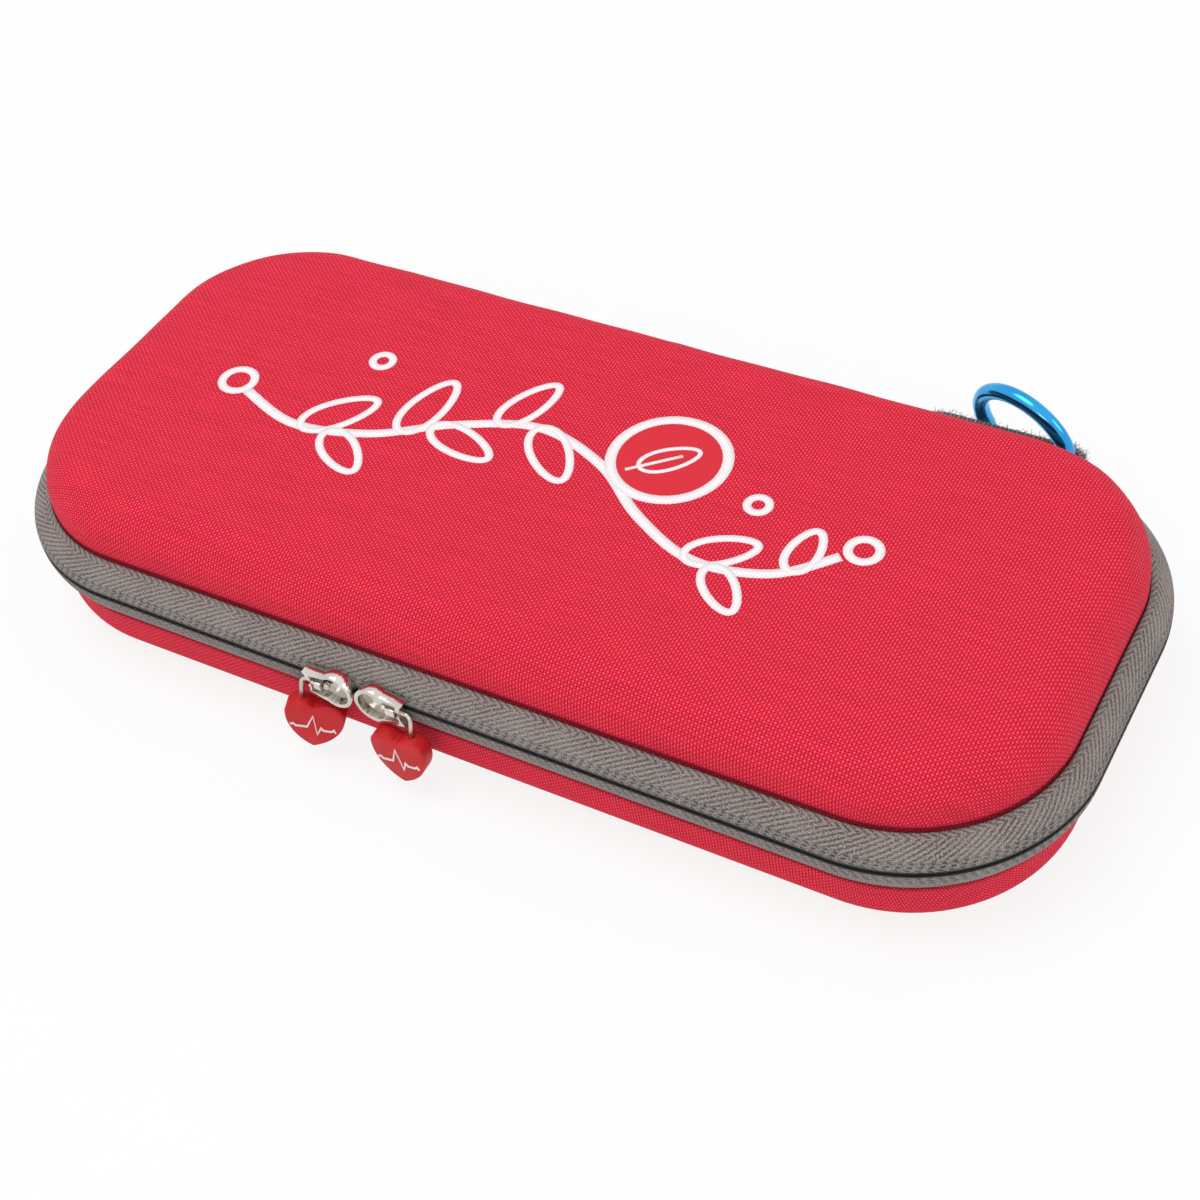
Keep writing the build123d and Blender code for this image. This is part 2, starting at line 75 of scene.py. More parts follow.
def addNode(tree, kind, inputs=(), **settings):
    node = tree.nodes.new(kind)
    for name, value in settings.items():
        setattr(node, name, value)
    for key, value in dict(inputs).items():
        if isinstance(value, bpy.types.NodeSocket):
            tree.links.new(value, node.inputs[key])
        else:
            node.inputs[key].default_value = value
    return node


def calc(tree, operation, *values):
    return addNode(tree, "ShaderNodeMath", enumerate(values), operation=operation).outputs[0]


def mix(tree, share, first, second):
    return addNode(tree, "ShaderNodeMix", {0: share, 6: first, 7: second}, data_type="RGBA").outputs[2]


def ramp(tree, value, low, high):
    sockets = {0: value, 1: low, 2: high, 3: 0.0, 4: 1.0}
    return addNode(tree, "ShaderNodeMapRange", sockets, interpolation_type="SMOOTHSTEP").outputs[0]


def newMaterial(name):
    material = bpy.data.materials.new(name)
    material.use_nodes = True
    tree = material.node_tree
    tree.nodes.clear()
    return material, tree


def finishSurface(tree, inputs, height=None, depth=0.1):
    """The principled shader with these inputs, and a bump of that depth in mm where height is given."""
    sockets = dict(inputs)
    if height is not None:
        bump = addNode(tree, "ShaderNodeBump", {"Height": height, "Distance": depth * mm, "Strength": 1.0})
        sockets["Normal"] = bump.outputs[0]
    shader = addNode(tree, "ShaderNodeBsdfPrincipled", sockets)
    addNode(tree, "ShaderNodeOutputMaterial", {0: shader.outputs[0]})


def clothPlace(tree):
    """The two coordinates of a cloth in mm, from its own map."""
    place = addNode(tree, "ShaderNodeUVMap", uv_map="mm").outputs[0]
    return place, *addNode(tree, "ShaderNodeSeparateXYZ", {0: place}).outputs[:2]


def mottle(tree, place, scale, detail=3.0):
    """Slow uneven patches, from zero to one, around so many mm across."""
    return addNode(tree, "ShaderNodeTexNoise", {"Vector": place, "Scale": 1 / scale, "Detail": detail}).outputs[0]


def weave(tree, across, along, pitchAcross, pitchAlong):
    """A plain weave: the warp's and the weft's round threads, each rising over the other in turn.
    Warp height is the round of the thread plus a sine along it, and the weft's runs against it."""
    sineAcross = calc(tree, "SINE", calc(tree, "MULTIPLY", across, math.pi / pitchAcross))
    sineAlong = calc(tree, "SINE", calc(tree, "MULTIPLY", along, math.pi / pitchAlong))
    roundWarp = calc(tree, "ABSOLUTE", sineAcross)
    roundWeft = calc(tree, "ABSOLUTE", sineAlong)
    riseWarp = calc(tree, "MULTIPLY", sineAlong, calc(tree, "SIGN", sineAcross))
    riseWeft = calc(tree, "MULTIPLY", sineAcross, calc(tree, "SIGN", sineAlong))
    warp = calc(tree, "MULTIPLY_ADD", riseWarp, 0.55, roundWarp)
    weft = calc(tree, "SUBTRACT", roundWeft, calc(tree, "MULTIPLY", riseWeft, 0.55))
    return calc(tree, "MAXIMUM", warp, weft), calc(tree, "GREATER_THAN", warp, weft)


def coverCloth():
    """Red polyester cover cloth, rows 0.65 mm apart, with faint slubs: bright warp dots on a deeper red as painted
    highlights, painted shade in the weave's pits and beside each tape's seam.
    """
    look = {"dot": "#FF5A74", "thread": "#F92945", "pit": "#C40C25", "seam": "#5E0612", "shadedSeams": (32.2, 16.6), "slub": 0.2}
    material, tree = newMaterial("redPolyesterWeave")
    place, across, along = clothPlace(tree)
    height, warpOver = weave(tree, across, along, 0.78, 0.62)
    # Painted highlight and shade: the warp crowns are painted as bright dots, and the pits between the threads in the
    # darker pit tone.
    lit = ramp(tree, height, 0.7, 1.5)
    threads = mix(tree, warpOver, hexLinear(look["thread"]), hexLinear(look["dot"]))
    colour = mix(tree, lit, hexLinear(look["pit"]), threads)
    stretched = addNode(tree, "ShaderNodeMapping", {0: place, 3: (0.06, 1.4, 1.0)}).outputs[0]
    slub = ramp(tree, mottle(tree, stretched, 1.0, 2.0), 0.3, 0.75)
    shade = calc(tree, "MULTIPLY_ADD", slub, look["slub"], 1 - look["slub"] * 0.5)
    colour = addNode(tree, "ShaderNodeVectorMath", {0: colour, 3: shade}, operation="SCALE").outputs[0]
    sheen = {"Sheen Weight": 0.08, "Sheen Roughness": 0.5, "Sheen Tint": hexLinear("#FF5A70"), "Specular IOR Level": 0.15}
    # Painted shade: the cloth is darkened towards the seam tone beside each tape's crease, where shade falls, by its
    # height there.
    point = addNode(tree, "ShaderNodeTexCoord").outputs["Object"]
    level = calc(tree, "MULTIPLY", addNode(tree, "ShaderNodeSeparateXYZ", {0: point}).outputs[2], 1 / mm)
    offShadedSeam = [calc(tree, "ABSOLUTE", calc(tree, "SUBTRACT", level, seam)) for seam in look["shadedSeams"]]
    seamShade = ramp(tree, calc(tree, "MINIMUM", *offShadedSeam), 2.4, 0.1)
    colour = mix(tree, calc(tree, "MULTIPLY", seamShade, 0.75), colour, hexLinear(look["seam"]))
    finishSurface(tree, {"Base Color": colour, "Roughness": 0.72, "IOR": 1.5, **sheen}, height, 0.1)
    return material


def zipTapeCloth():
    """Grey zip tape: herringbone twill in two bands, and rows of dark stitch holes beside the zip.
    A rib's phase is its place along the tape less its place across times the lean, over the pitch."""
    look = {"light": "#BBB1AA", "mid": "#7A716D", "dark": "#383130", "hole": "#2E2827", "edge": "#0D0C0C"}
    size = {"pitch": 2.13, "lean": 1.74, "flip": 7.9, "firstRow": 0.85, "row": 0.88, "bandEnd": 3.0}
    material, tree = newMaterial("greyZipTape")
    place, along, across = clothPlace(tree)
    folded = calc(tree, "ABSOLUTE", calc(tree, "SUBTRACT", across, size["flip"]))
    ribPlace = calc(tree, "MULTIPLY_ADD", folded, size["lean"], along)
    rib = calc(tree, "SINE", calc(tree, "MULTIPLY", ribPlace, 2 * math.pi / size["pitch"]))
    fine, _ = weave(tree, along, across, 0.35, 0.47)
    height = calc(tree, "MULTIPLY_ADD", rib, 0.4, fine)
    rowNumber = calc(tree, "ROUND", calc(tree, "DIVIDE", calc(tree, "SUBTRACT", across, size["firstRow"]), size["row"]))
    rowMiddle = calc(tree, "MULTIPLY_ADD", rowNumber, size["row"], size["firstRow"])
    offRow = calc(tree, "ABSOLUTE", calc(tree, "SUBTRACT", across, rowMiddle))
    shifted = calc(tree, "MULTIPLY_ADD", rowNumber, -0.42, along)
    inRow = calc(tree, "PINGPONG", shifted, size["pitch"] / 2)
    holeAcross = ramp(tree, offRow, 0.34, 0.12)
    holeAlong = ramp(tree, inRow, 0.45, 0.75)
    inBand = calc(tree, "LESS_THAN", across, size["bandEnd"])
    hole = calc(tree, "MULTIPLY", calc(tree, "MULTIPLY", holeAcross, holeAlong), inBand)
    plain = calc(tree, "SUBTRACT", 1.0, inBand)
    # Painted highlight and shade: the rib crests take the light tone and the grooves the dark tone, and the fine
    # weave's pits shift towards the mid tone.
    ribShare = ramp(tree, calc(tree, "MULTIPLY_ADD", rib, calc(tree, "MULTIPLY_ADD", plain, 0.5, 0.15), 0.0), -0.6, 0.5)
    threads = mix(tree, ribShare, hexLinear(look["dark"]), hexLinear(look["light"]))
    fineShare = ramp(tree, fine, 0.6, 1.5)
    colour = mix(tree, calc(tree, "MULTIPLY_ADD", fineShare, -0.3, 0.62), threads, hexLinear(look["mid"]))
    speck = mottle(tree, place, 0.42, 1.0)
    colour = mix(tree, calc(tree, "MULTIPLY", ramp(tree, speck, 0.5, 0.72), 0.75), colour, hexLinear(look["light"]))
    colour = mix(tree, calc(tree, "MULTIPLY", ramp(tree, speck, 0.5, 0.3), 0.6), colour, hexLinear(look["dark"]))
    colour = mix(tree, calc(tree, "MULTIPLY", hole, 0.85), colour, hexLinear(look["hole"]))
    uneven = ramp(tree, mottle(tree, place, 9.0), 0.35, 0.7)
    colour = mix(tree, calc(tree, "MULTIPLY", uneven, 0.18), colour, hexLinear(look["light"]))
    # Painted shade: the tape's face is darkened to near black along its edge at the zip gap.
    colour = mix(tree, ramp(tree, across, 0.62, 0.3), colour, hexLinear(look["edge"]))
    height = calc(tree, "MULTIPLY_ADD", hole, -1.6, height)
    finishSurface(tree, {"Base Color": colour, "Roughness": 0.8, "IOR": 1.5, "Sheen Weight": 0.1}, height, 0.14)
    return material


def ribbedCloth(name, light, dark, pitchAlong, pitchAcross, depth, roughness=0.82):
    """A narrow woven ribbon or lining: a plain weave of these two tones, the light one a painted highlight on the
    thread crowns and the dark one painted shade between them, with slow unevenness.
    """
    material, tree = newMaterial(name)
    place, along, across = clothPlace(tree)
    height, warpOver = weave(tree, along, across, pitchAlong, pitchAcross)
    # Painted highlight and shade: the tone runs from dark between the threads to light on their crowns, lighter on the
    # warp.
    share = calc(tree, "MULTIPLY", ramp(tree, height, 0.6, 1.5), calc(tree, "MULTIPLY_ADD", warpOver, 0.4, 0.6))
    uneven = mottle(tree, place, 12.0)
    share = calc(tree, "MULTIPLY", share, calc(tree, "MULTIPLY_ADD", uneven, 0.5, 0.7))
    colour = mix(tree, share, hexLinear(dark), hexLinear(light))
    finishSurface(tree, {"Base Color": colour, "Roughness": roughness, "IOR": 1.5, "Sheen Weight": 0.12}, height, depth)
    return material


def solidMatter(name, light, dark, patch, roughness, depth=0.0, **inputs):
    """A cast, drawn or moulded surface: two near tones in patches of that size, and a roughness that varies with a
    finer grain.
    """
    material, tree = newMaterial(name)
    coordinates = addNode(tree, "ShaderNodeTexCoord").outputs["Object"]
    place = addNode(tree, "ShaderNodeVectorMath", {0: coordinates, 3: 1 / mm}, operation="SCALE").outputs[0]
    patches = ramp(tree, mottle(tree, place, patch), 0.3, 0.7)
    grain = mottle(tree, place, patch / 12, 2.0)
    colour = mix(tree, patches, hexLinear(dark), hexLinear(light))
    rough = calc(tree, "MULTIPLY_ADD", grain, roughness * 0.5, roughness * 0.75)
    sockets = {"Base Color": colour, "Roughness": rough}
    sockets.update({key.replace("_", " "): value for key, value in inputs.items()})
    finishSurface(tree, sockets, grain if depth else None, depth)
    return material


def printInk(name, light, dark):
    """Screen-print ink on the cover cloth: it fills the weave, whose threads show through faintly, with painted shade
    of its darker tone in the weave's pits.
    """
    material, tree = newMaterial(name)
    place, across, along = clothPlace(tree)
    height, _ = weave(tree, across, along, 0.78, 0.62)
    # Painted shade: the ink runs from its light tone on the thread crowns to its darker tone in the pits.
    share = calc(tree, "MULTIPLY_ADD", ramp(tree, height, 0.5, 1.3), 0.7, 0.3)
    share = calc(tree, "MULTIPLY", share, calc(tree, "MULTIPLY_ADD", mottle(tree, place, 6.0), 0.2, 0.9))
    colour = mix(tree, share, hexLinear(dark), hexLinear(light))
    finishSurface(tree, {"Base Color": colour, "Roughness": 0.6, "IOR": 1.5, "Specular IOR Level": 0.25}, height, 0.05)
    return material


red = coverCloth()
tapeGrey = zipTapeCloth()
# Webbing: charcoal threads a millimetre across, with painted highlights on their crowns, which give a coarse dusty
# grey.
webbingGrey = ribbedCloth("greyWebbing", "#8F8886", "#2B2829", 1.1, 0.7, 0.25)
# Lining: a fine black knit, which reads as a soft dark grey inside.
liningBlack = ribbedCloth("blackTricot", "#3C3B40", "#121214", 0.9, 0.9, 0.08)
# Edge ribbon: ribbed black, a little shinier than the lining.
bindingBlack = ribbedCloth("blackGrosgrain", "#3A393C", "#0F0F10", 2.0, 0.6, 0.15, 0.6)
# Elastic: close ribs with rubber in them, a touch lighter than the lining.
elasticBlack = ribbedCloth("blackElastic", "#48474B", "#141415", 0.8, 1.6, 0.2, 0.7)
# Coil: black nylon wire with a dull gleam.
coilBlack = solidMatter("blackNylonCoil", "#131314", "#070707", 4.0, 0.45, IOR=1.53)
# Net: soft black polyester cord.
netBlack = solidMatter("blackNetCord", "#5A595F", "#3B3A3F", 3.0, 0.7, IOR=1.5)
# Foam: closed-cell black foam, matt with a fine grain, hidden between cover and lining.
foamBlack = solidMatter("blackFoam", "#39383A", "#242325", 5.0, 0.9, 0.1, IOR=1.5)
# Sliders and stops: bright nickel on zinc, with soft waves of the casting under the plating.
nickel = solidMatter("nickelPlate", "#DEDAD4", "#C6C1B9", 7.0, 0.14, 0.02, Metallic=1.0)
# Wire: drawn steel, plated like the sliders and a little duller.
steel = solidMatter("platedSteelWire", "#CFCAC2", "#B3ADA4", 3.0, 0.28, Metallic=1.0)
# Hook: blue anodised aluminium, a deep clear blue with crisp reflections.
anodised = solidMatter("blueAnodisedAluminium", "#3FB0EC", "#2C97D8", 12.0, 0.17, 0.01, Metallic=1.0)
# Hearts: soft red PVC, matt.
pvcRed = solidMatter("softRedPvc", "#CE1B22", "#BE141B", 6.0, 0.5, 0.02, IOR=1.53, Specular_IOR_Level=0.3)
pvcWhite = solidMatter("softWhitePvc", "#F4EAEA", "#E6DADA", 6.0, 0.5, 0.02, IOR=1.53)
inkWhite = printInk("whiteInk", "#FFFBFD", "#F0DCE3")
inkRed = printInk("redInk", "#E02A3B", "#C61D2D")
# Fray: loose ends of the webbing's yarn, lighter than its woven face.
frayGrey = solidMatter("greyYarnEnds", "#A8A2A0", "#6B6563", 2.0, 0.85, IOR=1.5)
print("materials made")


# ---- meshes

def buildMesh(name, points, faces, uv, material, body, nodes=(), loose=0.0):
    """One mesh piece from points in mm, faces as point numbers, and a map per face corner in mm."""
    mesh = bpy.data.meshes.new(name)
    mesh.from_pydata((np.asarray(points, float) * mm).tolist(), [], faces)
    layer = mesh.uv_layers.new(name="mm")
    layer.data.foreach_set("uv", np.asarray(uv, np.float32).ravel())
    mesh.polygons.foreach_set("use_smooth", np.ones(len(mesh.polygons), bool))
    if loose:
        shape = bmesh.new()
        shape.from_mesh(mesh)
        bmesh.ops.remove_doubles(shape, verts=shape.verts, dist=loose * mm)
        shape.to_mesh(mesh)
        shape.free()
    mesh.materials.append(material)
    piece = bpy.data.objects.new(name, mesh)
    bpy.context.scene.collection.objects.link(piece)
    if body:
        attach(piece, body)
    if nodes:
        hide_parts(*nodes)
    return piece


def gridFaces(points, uv, wrapU=False, wrapV=False, flip=False, caps=False, start=0):
    """Quads over a grid of points, with caps over the open ends of a tube, and each corner's map."""
    countU, countV = points.shape[:2]
    cellsU, cellsV = countU - (not wrapU), countV - (not wrapV)
    i, j = np.meshgrid(np.arange(cellsU), np.arange(cellsV), indexing="ij")
    corners = [(i, j), (i + 1, j), (i + 1, j + 1), (i, j + 1)]
    if flip:
        corners = corners[::-1]
    numbers = np.stack([(a % countU) * countV + b % countV for a, b in corners], -1).reshape(-1, 4) + start
    maps = np.stack([uv[a, b] for a, b in corners], 2).reshape(-1, 2)
    faces = numbers.tolist()
    if caps:
        ring = list(range(countV))
        last = [start + (countU - 1) * countV + k for k in ring]
        first = [start + k for k in ring]
        ends = [first[::-1], last] if flip else [first, last[::-1]]
        faces += ends
        rings = [uv[0, :countV], uv[-1, :countV]]
        rings = [rings[0][::-1], rings[1]] if flip else [rings[0], rings[1][::-1]]
        maps = np.concatenate([maps, *rings])
    return faces, maps


def gridPiece(name, points, uv, material, body, nodes=(), loose=0.0, **grid):
    faces, maps = gridFaces(points, uv, **grid)
    return buildMesh(name, points.reshape(-1, 3), faces, maps, material, body, nodes, loose)


def joinGrids(grids):
    """Several closed grids as one list of points, faces and map."""
    points, faces, maps, count = [], [], [], 0
    for shape, uv, settings in grids:
        some, corners = gridFaces(shape, uv, start=count, **settings)
        points.append(shape.reshape(-1, 3))
        faces += some
        maps.append(corners)
        count += shape.shape[0] * shape.shape[1]
    return np.concatenate(points), faces, np.concatenate(maps)


def unwrapped(along, across):
    """A map from two lists of lengths in mm, one for each way of a grid."""
    return np.stack(np.meshgrid(along, across, indexing="ij"), -1)


def runLength(line):
    steps = np.linalg.norm(np.diff(line, axis=0), axis=1)
    return np.concatenate([[0.0], np.cumsum(steps)])


def bentLine(corners, radii, step):
    """A bent line in even steps, with each inner corner rounded by an arc of its radius."""
    corners = [np.array(c, float) for c in corners]
    line = [corners[0]]
    for k, radius in enumerate(radii, 1):
        before = corners[k] - corners[k - 1]
        after = corners[k + 1] - corners[k]
        before, after = before / np.linalg.norm(before), after / np.linalg.norm(after)
        turn = math.acos(float(np.clip(before @ after, -1, 1)))
        cut = radius * math.tan(turn / 2)
        start = corners[k] - before * cut
        side = after - before * (before @ after)
        side = side / np.linalg.norm(side)
        swing = np.linspace(0, turn, max(3, int(radius * turn / step) + 2))
        line += [start + radius * (math.sin(a) * before + (1 - math.cos(a)) * side) for a in swing]
    line.append(corners[-1])
    line = np.array(line)
    length = runLength(line)
    places = np.concatenate([np.linspace(a, b, max(2, int((b - a) / (step * 2)) + 1), endpoint=False)
                             for a, b in zip(length, length[1:]) if b - a > 1e-6] + [[length[-1]]])
    return np.stack([np.interp(places, length, line[:, k]) for k in (0, 1)], -1)


def skinLine(outline, depth, step):
    """A wall line at a depth under its outer face, its bends on the outer face's centres."""
    corners, side = np.array(outline["corners"]), outline["side"]
    legs = np.diff(corners, axis=0)
    legs /= np.linalg.norm(legs, axis=1)[:, None]
    out = np.stack([legs[:, 1], -legs[:, 0]], -1) * depth * side
    moved = corners.copy()
    moved[0] += out[0]
    moved[0] = moved[0] - legs[0] * (out[0][1] / legs[0][1])
    moved[-1][1] += out[-1][1]
    radii = []
    for k in range(1, len(corners) - 1):
        moved[k] += (out[k - 1] + out[k]) / (1 + legs[k - 1] @ legs[k])
        cross = legs[k - 1][0] * legs[k][1] - legs[k - 1][1] * legs[k][0]
        radii.append(outline["radii"][k - 1] + depth * side * (1 if cross > 0 else -1))
    return bentLine(moved, radii, step)


def casePath(step=3.0, gap=0.0, bend=41.0):
    """The case's outermost line from the middle of the back round by the left, the front and the right:
    points, outward directions, and the length run, whose corners count with the radius bend."""
    cornerX, cornerY = case["halfLength"] - case["radius"], case["halfWidth"] - case["radius"]
    legs = [
        ((-gap / 2, case["halfWidth"]), (-cornerX, case["halfWidth"]), 90),
        ((-case["halfLength"], cornerY), (-case["halfLength"], -cornerY), 180),
        ((-cornerX, -case["halfWidth"]), (cornerX, -case["halfWidth"]), 270),
        ((case["halfLength"], -cornerY), (case["halfLength"], cornerY), 360),
        ((cornerX, case["halfWidth"]), (gap / 2, case["halfWidth"]), 450),
    ]
    points, outwards, lengths, total = [], [], [], 0.0
    for number, (start, end, facing) in enumerate(legs):
        start, end = np.array(start), np.array(end)
        length = np.linalg.norm(end - start)
        share = np.linspace(0, 1, max(2, int(round(length / step)) + 1))
        angle = math.radians(facing)
        points.append(start + share[:, None] * (end - start))
        outwards.append(np.tile([math.cos(angle), math.sin(angle)], (len(share), 1)))
        lengths.append(total + share * length)
        total += length
        if number < 4:
            inner = np.linspace(0, 90, max(8, int(72 / step)))[1:-1]
            turn = np.radians(facing + inner)
            around = np.stack([np.cos(turn), np.sin(turn)], -1)
            centre = end - case["radius"] * np.array([math.cos(angle), math.sin(angle)])
            points.append(centre + case["radius"] * around)
            outwards.append(around)
            lengths.append(total + np.radians(inner) * bend)
            total += math.pi / 2 * bend
    return np.concatenate(points), np.concatenate(outwards), np.concatenate(lengths)


def carried(path, section):
    """A section of (inset, height) points carried along a path of points and outward directions."""
    points, outwards = path[:2]
    flat = points[:, None, :] - outwards[:, None, :] * section[None, :, :1]
    height = np.broadcast_to(section[None, :, 1:] + case["zip"], (*flat.shape[:2], 1))
    return np.concatenate([flat, height], -1)


def shellSkin(name, outline, depth, material, body, nodes, thickness, outside, tuck=None):
    """One face of a shell as cloth: the wall carried round, and the flat middle filled in to its long axis.
    The map is plain x and y on the flat middle, and goes on down the wall by the length run there.
    A tuck draws the wall in beside a tape's crease, as a bell curve of the height there."""
    section = skinLine(outline, depth, 0.3 if tuck else 0.8)
    if tuck:
        near = np.abs(section[:, 1] - tuck["height"]) < 1.6
        near[::3] = near[-1] = True
        section = section[near]
        section[:, 0] += tuck["depth"] * np.exp(-((section[:, 1] - tuck["height"]) / tuck["width"]) ** 2)
    path = casePath(2.6)
    path = [part[:-1] for part in path]
    points = carried(path, section)
    if tuck and "dent" in tuck:
        dent = tuck["dent"]
        onShoulder = np.exp(-((section[:, 1] - dent["height"]) / dent["band"]) ** 2)
        waves = sum(np.sin(path[2] / length * 2 * math.pi + phase) for length, phase in dent["waves"])
        sink = dent["depth"] * (waves[:, None] + len(dent["waves"])) / 2 * onShoulder[None, :]
        points[..., :2] -= path[1][:, None, :] * sink[..., None]
        points[..., 2] -= sink
    edge = points[:, -1]
    fromPlate = runLength(section)[-1] - runLength(section)
    uv = edge[:, None, :2] + path[1][:, None, :] * fromPlate[None, :, None]
    axisX = case["halfLength"] - case["halfWidth"]
    middle = np.stack([np.clip(edge[:, 0], -axisX, axisX), 0 * edge[:, 1], edge[:, 2]], -1)
    share = np.linspace(0, 1, 9)[1:, None]
    filled = edge[:, None, :] * (1 - share) + middle[:, None, :] * share
    points = np.concatenate([points, filled], 1)
    uv = np.concatenate([uv, filled[:, :, :2]], 1)
    uv = np.concatenate([uv, uv[:1]], 0)
    flip = (outline["side"] > 0) != outside
    piece = gridPiece(name, points, uv, material, body, nodes, 0.01, wrapU=True, flip=flip)
    solid = piece.modifiers.new("thickness", "SOLIDIFY")
    solid.thickness = thickness * mm
    solid.offset = -1
    return piece


deep = wall["cover"] + wall["core"] + wall["lining"]
shellSkin("lidCover", lidLine, 0.0, red, "lid", ["lid_cover"], wall["cover"], True,
          {"depth": 0.75, "height": 7.3, "width": 0.65,
           "dent": {"height": 17.0, "band": 2.6, "depth": 0.14, "waves": [(41.0, 0.6), (23.0, 2.0), (67.0, 4.1)]}})
shellSkin("baseCover", baseLine, 0.0, red, "base", ["base_cover"], wall["cover"], True,
          {"depth": 0.6, "height": -8.8, "width": 0.55})
shellSkin("lidLining", lidLine, deep, liningBlack, "lid", ["lid_lining"], wall["lining"], False)
shellSkin("baseLining", baseLine, deep, liningBlack, "base", ["base_lining"], wall["lining"], False)
print("shells made")


# ---- tapes, hinge and bindings

def rollArc(crease, side, depth, steps=18):
    """The roll of a tape from the zip line to its crease, at a depth under its face."""
    rise = abs(crease[1]) - 0.45
    radius = (crease[0] ** 2 + rise ** 2) / (2 * crease[0])
    swing = math.atan2(rise, radius - crease[0])
    turn = np.linspace(0, swing, steps)
    reach = radius - depth
    return np.stack([radius - reach * np.cos(turn), side * (0.45 + reach * np.sin(turn))], -1)


def tapeSection(crease, side, seam):
    """The closed section of a tape: its face, the seam allowance down the wall, and its back."""
    face = rollArc(crease, side, 0.0)
    back = rollArc(crease, side, 0.8)
    seam = np.array(seam)
    nearest = back[np.argmin(np.linalg.norm(back - seam[-1], axis=1))]
    keep = back[:, 1] * side < nearest[1] * side - 0.2
    section = np.concatenate([face, seam, back[keep][::-1]])
    across = np.concatenate([runLength(face), runLength(face)[-1] + np.arange(1, len(seam) + 1) * 0.8,
                             runLength(back)[keep][::-1]])
    return section, across


tapeLook = {
    "upper": {"crease": (5.68, 6.9), "seam": [(5.54, 4.7), (4.5, 4.7), (4.5, 5.7)], "side": 1, "body": "lid"},
    "lower": {"crease": (3.32, -8.4), "seam": [(3.3, -8.2), (4.69, -6.5), (4.07, -5.99), (3.29, -7.2)],
              "side": -1, "body": "base"},
}
tapeSections = {}
for name, look in tapeLook.items():
    section, across = tapeSection(look["crease"], look["side"], look["seam"])
    tapeSections[name] = section
    path = casePath(1.5, gap=124.0)
    uv = unwrapped(path[2], np.concatenate([across, [0.0]]))
    gridPiece(name + "ZipTape", carried(path, section), uv, tapeGrey, look["body"], [name + "_zip_tape"],
              wrapV=True, caps=True, flip=look["side"] < 0)

hingePath = [np.stack([np.linspace(61.5, -61.5, 62), np.full(62, case["halfWidth"])], -1),
             np.tile([0.0, 1.0], (62, 1))]
face = np.concatenate([rollArc(tapeLook["lower"]["crease"], -1, 0.0)[::-1], rollArc(tapeLook["upper"]["crease"], 1, 0.0)])
back = np.concatenate([rollArc(tapeLook["upper"]["crease"], 1, 0.8)[::-1], rollArc(tapeLook["lower"]["crease"], -1, 0.8)])
section = np.concatenate([face, back])
across = np.concatenate([runLength(face), runLength(back)[::-1]])
uv = unwrapped(61.5 - hingePath[0][:, 0], np.concatenate([across, [0.0]]) + 3.2)
hinge = gridPiece("hingeStrip", carried(hingePath, section), uv, tapeGrey, None, ["hinge_strip"], wrapV=True, caps=True)
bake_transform(hinge)

for name, outline, body in (("lidEdgeBinding", lidLine, "lid"), ("baseEdgeBinding", baseLine, "base")):
    side = outline["side"]
    inner = skinLine(outline, deep, 0.8)
    foot, top = [np.interp(h, np.abs(inner[:, 1]), inner[:, 0]) for h in (0.9, 6.0)]
    outer = outline["corners"][0][0]
    corners = [(outer, side * 0.4), (foot + 0.5, side * 0.4), (top + 0.5, side * 6.0), (top, side * 6.0),
               (foot, side * 0.9), (outer, side * 0.9)]
    section = np.concatenate([np.linspace(a, b, 5, endpoint=False) for a, b in zip(corners, corners[1:] + corners[:1])])
    across = np.concatenate([runLength(section), [20.0]])
    path = [part[:-1] for part in casePath(2.6)]
    along = np.concatenate([path[2], [path[2][-1] + 2.6]])
    gridPiece(name, carried(path, section), unwrapped(along, across), bindingBlack, body,
              [name.replace("EdgeBinding", "_edge_binding")], wrapU=True, wrapV=True, flip=side > 0)
print("tapes made")


# ---- coils

def tubeGrid(line, radius, sides, outward):
    """A round tube along a line, its section turned from the given outward directions."""
    along = np.gradient(line, axis=0)
    along /= np.linalg.norm(along, axis=1)[:, None]
    out = outward - along * np.sum(outward * along, axis=1)[:, None]
    out /= np.linalg.norm(out, axis=1)[:, None]
    across = np.cross(along, out)
    turn = np.arange(sides) / sides * 2 * math.pi
    ring = out[:, None, :] * np.cos(turn)[None, :, None] + across[:, None, :] * np.sin(turn)[None, :, None]
    points = line[:, None, :] + ring * np.reshape(radius, (-1, 1, 1))
    uv = unwrapped(runLength(line), np.arange(sides + 1) / sides * 6.3 * float(np.max(radius)))
    return points, uv, {"wrapV": True, "caps": True, "flip": False}


